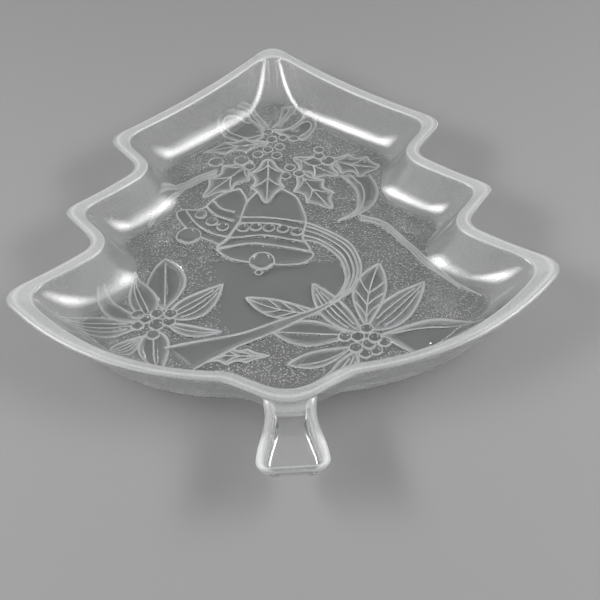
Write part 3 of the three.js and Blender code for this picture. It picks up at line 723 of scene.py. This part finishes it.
def trunk_half(reach):
    """Half width of the handle's top at a distance from its front: an eased flare from waist to end, less a
    quarter circle at the end's corners."""
    flare = TRUNK_ROOT_HALF + TRUNK_FLARE * smooth((TRUNK_LENGTH - TRUNK_WAIST - reach) / TRUNK_FLARE_RUN)
    corner = np.clip(TRUNK_CORNER - reach, 0, TRUNK_CORNER)
    return flare - TRUNK_CORNER + np.sqrt(TRUNK_CORNER ** 2 - corner ** 2)


def trunk(edge, across, up):
    """The wall's opening carried forward: within a few millimetres it turns into the handle's section, which
    has a raised border and a lower panel, and whose front closes on a line along a quarter circle. Each
    point of the opening has a share across the section, from -1 to 1, and a share up it."""
    reach = TRUNK_STATIONS[:, None]
    closing = np.sqrt(1 - np.clip(1 - reach / TRUNK_NOSE_RUN, 0, 1) ** 2)
    top_half = trunk_half(reach)
    low_half = top_half - TRUNK_SIDE_RUN * closing
    half = low_half + (top_half - low_half) * up
    x = across * half
    edge_gap = half - np.abs(x)
    ridge = 1 - smooth((edge_gap - TRUNK_BORDER) / TRUNK_BORDER_RUN)
    lip = (1 - smooth((reach - TRUNK_LIP) / TRUNK_LIP_RUN)) * (1 - ridge)
    low = TRUNK_UNDERSIDE + rounding(edge_gap, TRUNK_LOW_EDGE)
    towards_root = smooth((reach - TRUNK_PANEL_LEVEL) / (TRUNK_LENGTH - TRUNK_PANEL_LEVEL))
    panel = TRUNK_PANEL + TRUNK_ROOT_RISE * towards_root
    high = panel + (TRUNK_TOP - panel) * (ridge + lip) - rounding(edge_gap, TRUNK_TOP_EDGE)
    z = low + (high - low) * up
    z = TRUNK_NOSE + (z - TRUNK_NOSE) * closing
    slant = TRUNK_SIDE_RUN * (TRUNK_NOSE - z) / (TRUNK_TOP - TRUNK_UNDERSIDE)
    y = TRUNK_END + reach + slant * (1 - reach / TRUNK_LENGTH) ** 2
    root = smooth((reach - TRUNK_LENGTH + TRUNK_JOIN) / ROOT_WHITENING_RUN)
    # Painted highlight on the raised sides, gaining towards the front; the lip and the root are whitened
    highlight_gain = RIDGE_ROOT_SHARE + RIDGE_HIGHLIGHT_GROWTH * smooth((RIDGE_HIGHLIGHT_REACH - reach) / RIDGE_HIGHLIGHT_RUN)
    frost = up * np.maximum(RIDGE_HIGHLIGHT * ridge * highlight_gain + LIP_WHITENING * lip, ROOT_WHITENING * root)
    section = np.stack([x, y + 0 * x, z, frost, 0 * x], -1)
    turned = smooth((TRUNK_LENGTH - reach) / TRUNK_JOIN)[..., None]
    places = edge[None] * (1 - turned) + section * turned
    return places.reshape(-1, 5), grid_triangles(len(reach), len(edge))


def unrolled(rings, profile):
    """Plan places of the wall's points with the wall laid flat outwards from the recess, each as far out as
    it is along the wall's section, and the wall's outward plan directions."""
    along = np.roll(rings, -1, 1) - np.roll(rings, 1, 1)
    outward = -turned_left(unit(along))
    path = np.r_[0, np.cumsum(np.linalg.norm(np.diff(profile, axis=0), axis=1))]
    plan = profile[0, 0] - profile[:, 0]
    return rings + outward * (path - plan)[:, None, None], outward


def recess(points):
    """Height of the underside inside the foot: an eased rise from the foot's inner edge, flat further in."""
    foot = outline(FOOT_INSET)
    return FOOT_RECESS * smooth(gap_to_segments(points, foot, np.roll(foot, -1, 0)) / RECESS_RUN)


def underside(points):
    """Height of the underside with its relief, which stays clear of what the dish stands on: where the room r
    above that is small, a depth d becomes d r / (d^4 + r^4)^(1/4)."""
    raised, frost, stipple = carve(points)
    level = recess(points)
    room = np.maximum(level - LEAST_HEIGHT, LEAST_ROOM)
    return level - raised * room / (raised ** 4 + room ** 4) ** 0.25, frost, stipple


def relief_share(profile):
    """How much of the relief each carved row of the wall carries: all of it at the floor, shallow grooves on
    the foot band, low ridges on the wall, and none higher up. Then how much of its painted light and of its
    stipple."""
    height = profile[:, 1]
    in_recess = np.arange(len(profile)) <= RECESS_ROWS
    on_ridge = WALL_RELIEF * smooth((height - WALL_RELIEF_START) / WALL_RELIEF_RUN)
    rise = np.where(in_recess, height / height[0], on_ridge)
    fading = smooth((WALL_RELIEF_TOP - height) / WALL_RELIEF_FADE)
    stippled = smooth((STIPPLE_TOP - height) / STIPPLE_FADE)
    return ((1 + BAND_GROOVE) * rise - BAND_GROOVE) * fading, fading, stippled


def hazed(haze, height):
    """A haze's frost at a height: an eased step over its rise."""
    return haze.frost * smooth((height - haze.start) / haze.rise)


def rim_painted_shading(profile):
    """Painted shading over the rim that makes it look round: a thin white haze on its top and its outer side,
    and painted highlights along its outer crest and its inner edge, eased to nothing at their half width."""
    inset, height = profile.T
    strips = [
        strip.frost * smooth(1 - np.abs(inset - strip.inset) / strip.half_width) * (height > strip.above)
        for strip in (RIM_CREST_HIGHLIGHT, RIM_INNER_HIGHLIGHT)]
    side = hazed(RIM_SIDE, height) * (inset < RIM_SIDE_INSET)
    return np.maximum.reduce([hazed(RIM_TOP, height), side, *strips])[:, None]


def notch_share(rings):
    """1 at the four notches of the outline, fading within a few millimetres."""
    notches = tree_corners()[list(NOTCHES), :2]
    gap = np.linalg.norm(rings[..., None, :] - notches, axis=-1).min(-1)
    return smooth((NOTCH_REACH - gap) / NOTCH_FADE)


def on_wall(points, flat, layers):
    """The wall's layers of values at unrolled plan points: from the nearest point of its grid, the shares of
    a step along the row and of one up the column that together reach the point."""
    rows, columns = flat.shape[:2]
    grid = flat.reshape(-1, 2)
    parts = np.array_split(points, len(points) * len(grid) // PAIRS_AT_ONCE + 1)
    nearest = np.concatenate([((part[:, None] - grid) ** 2).sum(2).argmin(1) for part in parts])
    row, column = np.divmod(nearest, columns)
    offset = points - grid[nearest]
    along = flat[row, (column + 1) % columns] - grid[nearest]
    beside = (column + np.where((offset * along).sum(1) < 0, -1, 1)) % columns
    up = flat[np.minimum(row + 1, rows - 1), column] - flat[np.maximum(row - 1, 0), column]
    above = row + np.where((offset * up).sum(1) < 0, -1, 1)
    above = np.where((above < 0) | (above >= rows), 2 * row - above, above)
    along = flat[row, beside] - grid[nearest]
    up = flat[above, column] - grid[nearest]
    area = crossed(along, up)
    share_along = (crossed(offset, up) / area)[:, None]
    share_up = (crossed(along, offset) / area)[:, None]
    here = layers[row, column]
    return here + share_along * (layers[row, beside] - here) + share_up * (layers[above, column] - here)


def carved_underside(flat, layers):
    """The floor's underside, the foot band and the lower wall in one sheet, triangulated with the wall laid
    flat: plan points inside the first ring lie on the floor, and the others go to their places on the wall.
    The layers hold place, facing, shares of relief, painted light and stipple, and haze."""
    floor = flat[0]
    points = relief_points(flat[-1], floor, flat[:-1].reshape(-1, 2))
    points, faces = filled(flat[-1], points)
    sheet = np.c_[points, np.stack(underside(points), 1)]
    outer = ~inside(points, floor)
    place, facing, relief, painted_light_share, stippling, haze = np.split(
        on_wall(points[outer], flat, layers), [3, 6, 7, 8, 9], axis=1)
    raised, frost, stipple = (values[:, None] for values in carve(points[outer]))
    lifted = place + facing * (raised * relief)
    lifted[:, 2] = np.maximum(lifted[:, 2], np.clip(place[:, 2], 0, LEAST_HEIGHT))
    sheet[outer] = np.hstack([lifted, np.maximum(frost * painted_light_share, haze), stipple * stippling])
    return sheet, faces[:, ::-1]


def dish_surface():
    """The whole pressing as one closed surface: the carved underside, the wall's rings, the handle and the
    floor. Plan points keep single precision, as the triangulation does, so that the blocks meet."""
    profile = wall_profile()
    rings = np.float32([outline(inset) for inset, _ in profile]).astype(float)
    rows, columns = rings.shape[:2]
    outer_rows = len(FOOT_ROWS) + OUTER_WALL_ROWS
    height = np.repeat(profile[:, 1:], columns, 1)
    wall = np.concatenate([rings, height[..., None]], 2)
    wall[:RECESS_ROWS, :, 2] = recess(rings[:RECESS_ROWS].reshape(-1, 2)).reshape(RECESS_ROWS, columns)
    flat, outward = unrolled(rings, profile)
    slope = unit(np.gradient(profile, axis=0))
    facing = np.concatenate([outward * slope[:, None, 1:], np.repeat(slope[:, None, :1], columns, 1)], 2)
    outside = (np.arange(rows) < outer_rows)[:, None] & (profile[:, :1] < FOOT_INSET)
    rising = smooth((profile[:, 1:] - OUTER_WALL.start) / OUTER_WALL.rise) * outside
    haze = (OUTER_WALL.frost + NOTCH_WHITENING * notch_share(rings)) * rising
    shares = np.repeat(np.stack(relief_share(profile), 1)[:, None], columns, 1)
    layers = np.concatenate([wall, facing, shares, haze[..., None]], 2)
    carved = slice(0, CARVED_ROWS + 1)
    blocks = [carved_underside(flat[carved], layers[carved])]

    # The rim's painted shading and highlights over the wall's whitish haze
    frost = np.maximum(haze, rim_painted_shading(profile))
    wall = np.concatenate([wall, frost[..., None], np.zeros((rows, columns, 1))], 2)
    near_front = np.abs(np.arange(columns) - columns // 2) <= TRUNK_COLUMNS
    at_root = near_front & (np.abs(rings[TRUNK_WALL_ROW, :, 0]) < TRUNK_ROOT_HALF)
    left, right = at_root.nonzero()[0][[0, -1]]
    low = int(np.argmin(np.abs(profile[:outer_rows, 1] - TRUNK_UNDERSIDE)))
    high = outer_rows + TRUNK_RIM_ROWS
    keep = np.ones((rows - 1, columns), bool)
    keep[:CARVED_ROWS] = False
    keep[low:high, left:right] = False
    blocks.append((wall.reshape(-1, 5), grid_triangles(rows, columns, keep)))

    span, rise = right - left, high - low
    edge = np.vstack([
        wall[low, left:right], wall[low:high, right], wall[high, right:left:-1], wall[high:low:-1, left]])
    rightwards = np.linspace(-1, 1, span + 1)[:-1]
    leftwards = np.linspace(1, -1, span + 1)[:-1]
    upwards = np.linspace(0, 1, rise + 1)[:-1]
    downwards = np.linspace(1, 0, rise + 1)[:-1]
    across = np.r_[rightwards, np.ones(rise), leftwards, -np.ones(rise)]
    up = np.r_[np.zeros(span), upwards, np.ones(span), downwards]
    blocks.append(trunk(edge, across, up))

    grid = plan_grid(FLOOR_LOW, FLOOR_HIGH, FLOOR_STEP)
    grid = grid[inside(grid, outline(FLOOR_INSET))]
    over, faces = filled(rings[-1], grid)
    blocks.append((np.c_[over, np.full(len(over), FLOOR_TOP), np.zeros((len(over), 2))], faces))
    return blocks


mesh = joined_mesh("glass_dish", dish_surface())
dish = bpy.data.objects.new("glass_dish", mesh)
bpy.context.scene.collection.objects.link(dish)
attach(dish, "root")
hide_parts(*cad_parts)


# Materials


class Wire:
    """A socket of a node tree. Arithmetic on it adds Math nodes, and node() adds any other node."""

    def __init__(self, tree, socket=None):
        self.tree = tree
        self.socket = socket

    def node(self, kind, settings=(), sockets=(), output=0):
        """A node of a kind with its settings, then its sockets' values or links; gives one output's wire."""
        made = self.tree.nodes.new(kind)
        for name, value in dict(settings).items():
            setattr(made, name, value)
        for name, value in dict(sockets).items():
            if isinstance(value, Wire):
                self.tree.links.new(value.socket, made.inputs[name])
            else:
                made.inputs[name].default_value = value
        return Wire(self.tree, made.outputs[output]) if len(made.outputs) else None

    def math(self, operation, first, second):
        """A Math node's result for two wires or numbers."""
        return self.node("ShaderNodeMath", {"operation": operation}, {0: first, 1: second})

    def __add__(self, other):
        return self.math("ADD", self, other)

    def __mul__(self, other):
        return self.math("MULTIPLY", self, other)

    def __rsub__(self, other):
        return self.math("SUBTRACT", other, self)

    __radd__ = __add__
    __rmul__ = __mul__


def new_material(name):
    """An empty material, and a wire that adds nodes to it."""
    material = bpy.data.materials.new(name)
    material.use_nodes = True
    tree = material.node_tree
    tree.nodes.clear()
    return material, Wire(tree)


HAZE_AND_PAINTED_LIGHT_WHITE = (0.96, 0.97, 0.97, 1)
# How much of the white stays between its grit, and how much the grit adds
WHITE_LEAST = 0.7
WHITE_GRIT = 0.5
# Painted sparkle on the stipple, white dots that stand for glints: their reach from a grain's middle, and how
# fast they whiten inside it
SPARKLE_REACH = 0.42
SPARKLE_WHITENING = 5.0
# Height of the faint waves in the glass, as a share of a grain's
WAVE_SHARE = 0.05


def clear_glass():
    """Clear glass with stippled ground, mixed with white for painted glints, highlights and shading, a
    whitish haze, and painted sparkle on the stipple.
    """
    material, wire = new_material("clear_glass")
    place = wire.node("ShaderNodeTexCoord", output="Object")
    frost = wire.node("ShaderNodeAttribute", {"attribute_name": "frost"}, output="Fac")
    stipple = wire.node("ShaderNodeAttribute", {"attribute_name": "stipple"}, output="Fac")
    grains = wire.node("ShaderNodeTexVoronoi", {"feature": "F1"}, {"Vector": place, "Scale": 1000.0})
    grit = wire.node("ShaderNodeTexNoise", {}, {"Vector": place, "Scale": 1500.0, "Detail": 2.0})
    waves = wire.node("ShaderNodeTexNoise", {}, {"Vector": place, "Scale": 30.0, "Detail": 1.0})
    grained = wire.node("ShaderNodeBump", {}, {
        "Strength": 1.0, "Distance": 0.00022, "Height": grains * stipple + waves * WAVE_SHARE})
    glass = wire.node("ShaderNodeBsdfPrincipled", {}, {
        "Base Color": (0.985, 0.992, 0.99, 1), "Roughness": 0.0, "IOR": 1.5, "Transmission Weight": 1.0,
        "Coat Weight": 0.5, "Coat Roughness": 0.12, "Normal": grained})
    white = wire.node("ShaderNodeBsdfPrincipled", {}, {
        "Base Color": HAZE_AND_PAINTED_LIGHT_WHITE, "Roughness": 0.3, "Specular IOR Level": 0.4})
    painted_white = wire.node("ShaderNodeMixShader", {}, {
        0: 0.1, 1: white, 2: wire.node("ShaderNodeBsdfTranslucent", {}, {"Color": HAZE_AND_PAINTED_LIGHT_WHITE})})
    # White dots on the stippled ground: painted sparkle
    painted_sparkle = wire.math("MAXIMUM", SPARKLE_REACH - grains, 0.0) * SPARKLE_WHITENING
    # Share of painted white: painted light and haze with grit, and the painted sparkle
    share = frost * (grit * WHITE_GRIT + WHITE_LEAST) + stipple * painted_sparkle
    surface = wire.node("ShaderNodeMixShader", {}, {0: share, 1: glass, 2: painted_white})
    wire.node("ShaderNodeOutputMaterial", {}, {"Surface": surface})
    return material


def pale_floor():
    """Plain matt floor of a pale grey."""
    material, wire = new_material("pale_floor")
    surface = wire.node("ShaderNodeBsdfPrincipled", {}, {
        "Base Color": (0.36, 0.36, 0.36, 1), "Roughness": 0.9, "Specular IOR Level": 0.1})
    wire.node("ShaderNodeOutputMaterial", {}, {"Surface": surface})
    return material


mesh.materials.append(clear_glass())

# Floor, light and camera

FLOOR_REACH = 3.0
FLOOR_LEVEL = -0.0002
floor_mesh = bpy.data.meshes.new("floor")
floor_corners = [
    (x * FLOOR_REACH, y * FLOOR_REACH, FLOOR_LEVEL) for x, y in [(-1, -1), (1, -1), (1, 1), (-1, 1)]]
floor_mesh.from_pydata(floor_corners, [], [(0, 1, 2, 3)])
floor = bpy.data.objects.new("floor", floor_mesh)
floor_mesh.materials.append(pale_floor())
bpy.context.scene.collection.objects.link(floor)

world = bpy.data.worlds.new("studio")
world.use_nodes = True
world.node_tree.nodes.clear()
sky = Wire(world.node_tree)
background = sky.node("ShaderNodeBackground", {}, {"Color": (1, 1, 1, 1), "Strength": 0.27})
sky.node("ShaderNodeOutputWorld", {}, {"Surface": background})
bpy.context.scene.world = world

# Each softbox is a set of panes, each smaller, brighter and a little nearer than the one behind it, so that
# it fades towards its edge. A softbox has its place and its height, in metres.
PANES = np.array([1.0, 0.82, 0.64, 0.46, 0.28])
PANE_FADE = 1.25
PANE_ADVANCE = 0.01
SOFTBOX_ENERGY = 3.3
SOFTBOX_LENGTH = 1.0
SOFTBOXES = [((-0.566, -0.10, 0.482), 0.25), ((0.566, -0.10, 0.482), 0.33)]
pane_energy = PANES ** 2 * (PANE_FADE - PANES)
pane_energy *= SOFTBOX_ENERGY / pane_energy.sum()
for place, height in SOFTBOXES:
    for step, share in enumerate(PANES):
        lamp = bpy.data.lights.new("softbox", "AREA")
        lamp.shape = "ELLIPSE"
        lamp.size = SOFTBOX_LENGTH * share
        lamp.size_y = height * share
        lamp.energy = pane_energy[step]
        softbox = bpy.data.objects.new("softbox", lamp)
        softbox.location = Vector(place) * (1 - PANE_ADVANCE * step)
        softbox.rotation_euler = (-softbox.location).to_track_quat("-Z", "Y").to_euler()
        bpy.context.scene.collection.objects.link(softbox)

camera_data = bpy.data.cameras.new("camera")
camera_data.lens = 66.0
camera_data.sensor_width = 36.0
camera = bpy.data.objects.new("camera", camera_data)
# The camera's axes and place, found from the outline of the rim in the photograph
CAMERA_RIGHT = np.array([0.9983, -0.0477, -0.0322])
CAMERA_AHEAD = np.array([0.0100, 0.6946, -0.7193])
CAMERA_PLACE = np.array([1.7, -345.25 - MIDDLE_Y, 332.7]) * MM
ahead = unit(CAMERA_AHEAD)
right = unit(CAMERA_RIGHT - ahead * (CAMERA_RIGHT @ ahead))
up = np.cross(right, ahead)
camera.matrix_world = Matrix([
    (right[0], up[0], -ahead[0], CAMERA_PLACE[0]),
    (right[1], up[1], -ahead[1], CAMERA_PLACE[1]),
    (right[2], up[2], -ahead[2], CAMERA_PLACE[2]),
    (0, 0, 0, 1),
])
bpy.context.scene.collection.objects.link(camera)
bpy.context.scene.camera = camera
bpy.context.scene.view_settings.view_transform = "Standard"
